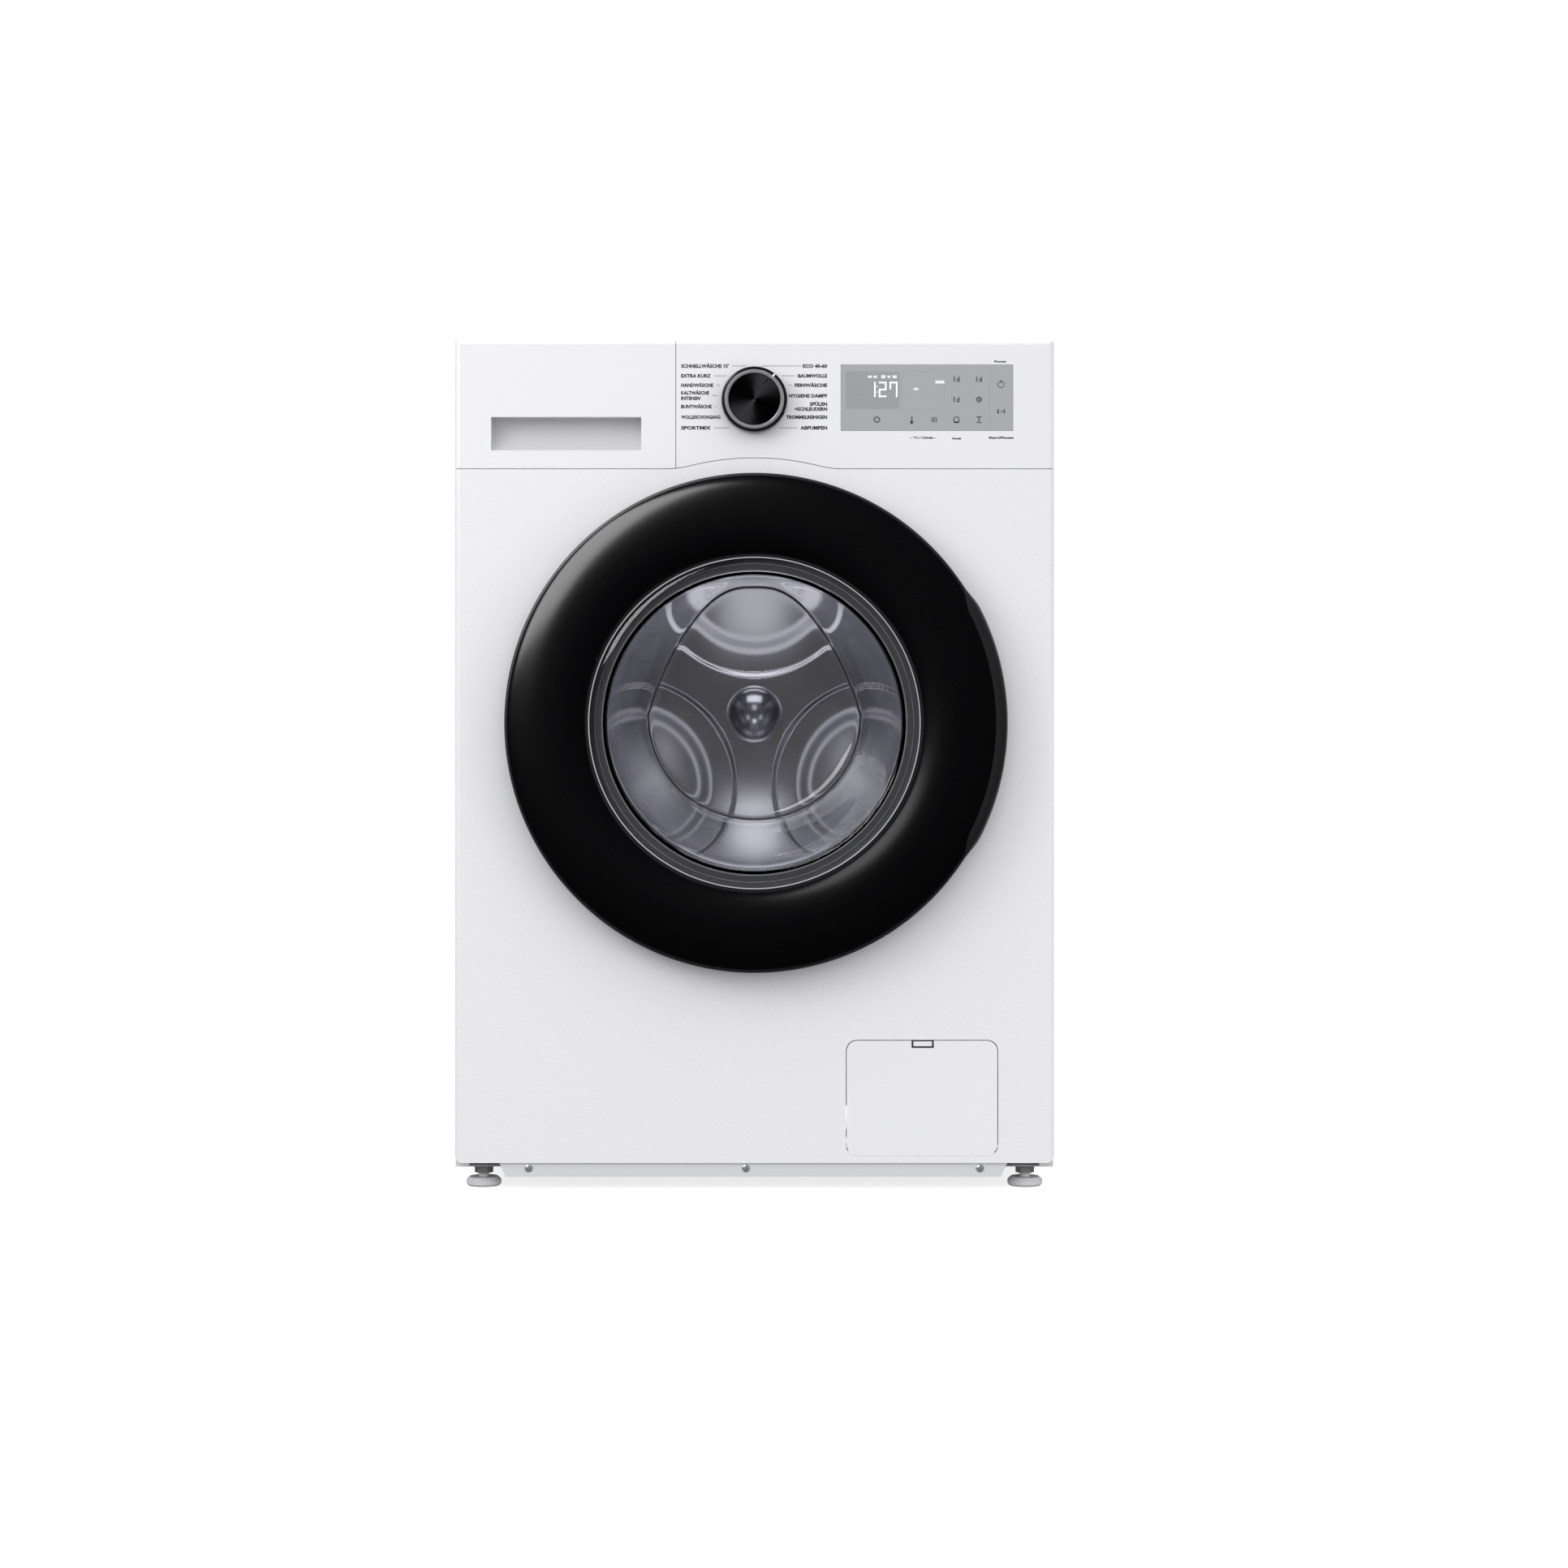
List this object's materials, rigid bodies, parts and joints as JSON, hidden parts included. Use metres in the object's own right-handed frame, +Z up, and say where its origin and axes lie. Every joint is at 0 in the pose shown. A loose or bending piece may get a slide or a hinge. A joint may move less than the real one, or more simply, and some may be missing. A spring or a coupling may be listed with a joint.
{
  "type": "front load washing machine",
  "caption": "Free-standing front-loading washing machine: white cabinet, gloss black round door with glass bowl, detergent drawer, programme knob and display.",
  "frame": {"origin": "on the floor, under the centre of the machine's bounding box", "axes": "+X to the viewer's right facing the door, +Y to the back, +Z up"},
  "size_m": [0.6, 0.61, 0.85],
  "materials": {
    "white_paint": "gloss enamel",
    "white_plastic": "gloss",
    "top_board": "satin",
    "inner_plastic": "matte",
    "zinc": "galvanised",
    "back_cover": "matte",
    "display": "smoked gloss",
    "grey_plastic": "satin",
    "foot_plastic": "matte",
    "dark_plastic": "matte",
    "gloss_black": "high gloss",
    "seal_rubber": "matte",
    "black_rubber": "matte",
    "bowl_glass": "clear",
    "cast_zinc": "satin",
    "knob_black": "gloss",
    "knob_chrome": "bright",
    "knob_metal": "turned",
    "tub_plastic": "matte",
    "concrete": "cast",
    "drum_steel": "bright",
    "shaft_steel": "cast",
    "motor_paint": "satin",
    "siphon_blue": "matte",
    "cap_blue": "matte",
    "pump_plastic": "matte",
    "spring_steel": "oiled"
  },
  "bodies": {
    "cabinet": {"left_side_panel": "white_paint", "right_side_panel": "white_paint", "back_panel": "zinc", "rear_covers": "back_cover", "front_panel": "white_paint", "top_cover": "top_board", "control_fascia": "white_plastic", "display_window": "display", "base_frame": "zinc", "front_rail": "grey_plastic", "fasteners": "zinc", "spring_crossbar": "zinc", "dispenser_housing": "inner_plastic", "inlet_valve": "inner_plastic", "control_box": "back_cover", "mains_gland": "dark_plastic", "drain_pump": "pump_plastic", "drain_pipe": "back_cover", "door_lock": "dark_plastic", "hinge_bracket": "zinc", "damper_cylinders": "pump_plastic", "door_seal": "seal_rubber", "suspension_springs": "spring_steel", "sump_hose": "black_rubber", "fill_hose": "black_rubber"},
    "door": {"door_rim": "dark_plastic", "door_cover_ring": "gloss_black", "glass_gasket": "black_rubber", "glass_bowl": "bowl_glass", "door_inner_frame": "dark_plastic", "door_hinge_leaf": "cast_zinc"},
    "latch": {"latch_hook": "cast_zinc"},
    "drawer": {"drawer_front": "white_plastic", "drawer_tray": "inner_plastic", "siphon_cap": "siphon_blue"},
    "knob": {"knob_body": "knob_black", "knob_ring": "knob_chrome", "knob_cap": "knob_metal"},
    "service_flap": {"filter_flap": "white_plastic"},
    "lint_filter": {"filter_cap": "cap_blue"},
    "foot_fl": {"foot_front_left": "foot_plastic"},
    "foot_fr": {"foot_front_right": "foot_plastic"},
    "foot_rl": {"foot_rear_left": "foot_plastic"},
    "foot_rr": {"foot_rear_right": "foot_plastic"},
    "tub": {"tub_front": "tub_plastic", "tub_rear": "tub_plastic", "counterweight_front": "concrete", "counterweight_top": "concrete", "motor_body": "motor_paint", "heater_element": "drum_steel", "tub_bearings": "shaft_steel", "damper_rods": "zinc", "drive_belt": "black_rubber"},
    "drum": {"drum_shell": "drum_steel", "drum_back": "drum_steel", "drum_lifters": "inner_plastic", "drum_shaft": "shaft_steel", "drum_pulley": "shaft_steel"},
    "rotor": {"motor_rotor": "motor_paint"},
    "impeller": {"pump_impeller": "inner_plastic"}
  },
  "joints": [
    {"name": "door_hinge", "type": "hinge", "parent": "cabinet", "child": "door", "pos_m": [-0.236, -0.284, 0.4675], "axis": [0, 0, -1], "range_deg": [0, 115]},
    {"name": "latch_pivot", "type": "hinge", "parent": "door", "child": "latch", "pos_m": [0.211, -0.27, 0.4675], "axis": [0, 0, -1], "range_deg": [0, 10], "stiffness_Nm_per_rad": 0.6},
    {"name": "drawer_slide", "type": "slide", "parent": "cabinet", "child": "drawer", "axis": [0, -1, 0], "range_m": [0, 0.2]},
    {"name": "knob_turn", "type": "hinge", "parent": "cabinet", "child": "knob", "pos_m": [0, -0.27, 0.7896], "axis": [0, -1, 0], "continuous": true},
    {"name": "flap_hinge", "type": "hinge", "parent": "cabinet", "child": "service_flap", "pos_m": [0.1676, -0.258, 0.0436], "axis": [1, 0, 0], "range_deg": [0, 90]},
    {"name": "filter_turn", "type": "hinge", "parent": "cabinet", "child": "lint_filter", "pos_m": [0.168, -0.24, 0.088], "axis": [0, -1, 0], "range_deg": [0, 110]},
    {"name": "foot_fl_screw", "type": "slide", "parent": "cabinet", "child": "foot_fl", "axis": [0, 0, -1], "range_m": [-0.003, 0.015]},
    {"name": "foot_fr_screw", "type": "slide", "parent": "cabinet", "child": "foot_fr", "axis": [0, 0, -1], "range_m": [-0.003, 0.015]},
    {"name": "foot_rl_screw", "type": "slide", "parent": "cabinet", "child": "foot_rl", "axis": [0, 0, -1], "range_m": [-0.003, 0.015]},
    {"name": "foot_rr_screw", "type": "slide", "parent": "cabinet", "child": "foot_rr", "axis": [0, 0, -1], "range_m": [-0.003, 0.015]},
    {"name": "tub_bounce", "type": "slide", "parent": "cabinet", "child": "tub", "axis": [0, 0, 1], "range_m": [-0.012, 0.012], "stiffness_N_per_m": 8000, "springref_m": 0.04615, "deforming": ["door_seal", "suspension_springs", "sump_hose", "fill_hose"]},
    {"name": "drum_spin", "type": "hinge", "parent": "tub", "child": "drum", "pos_m": [0, 0, 0.47], "axis": [0, 1, 0], "continuous": true},
    {"name": "motor_spin", "type": "hinge", "parent": "tub", "child": "rotor", "pos_m": [0, 0, 0.125], "axis": [0, 1, 0], "continuous": true},
    {"name": "impeller_spin", "type": "hinge", "parent": "cabinet", "child": "impeller", "pos_m": [0.168, -0.11, 0.088], "axis": [0, 1, 0], "continuous": true}
  ],
  "couplings": [
    {"joint": "motor_spin", "follows": "drum_spin", "ratio": 13.636}
  ]
}
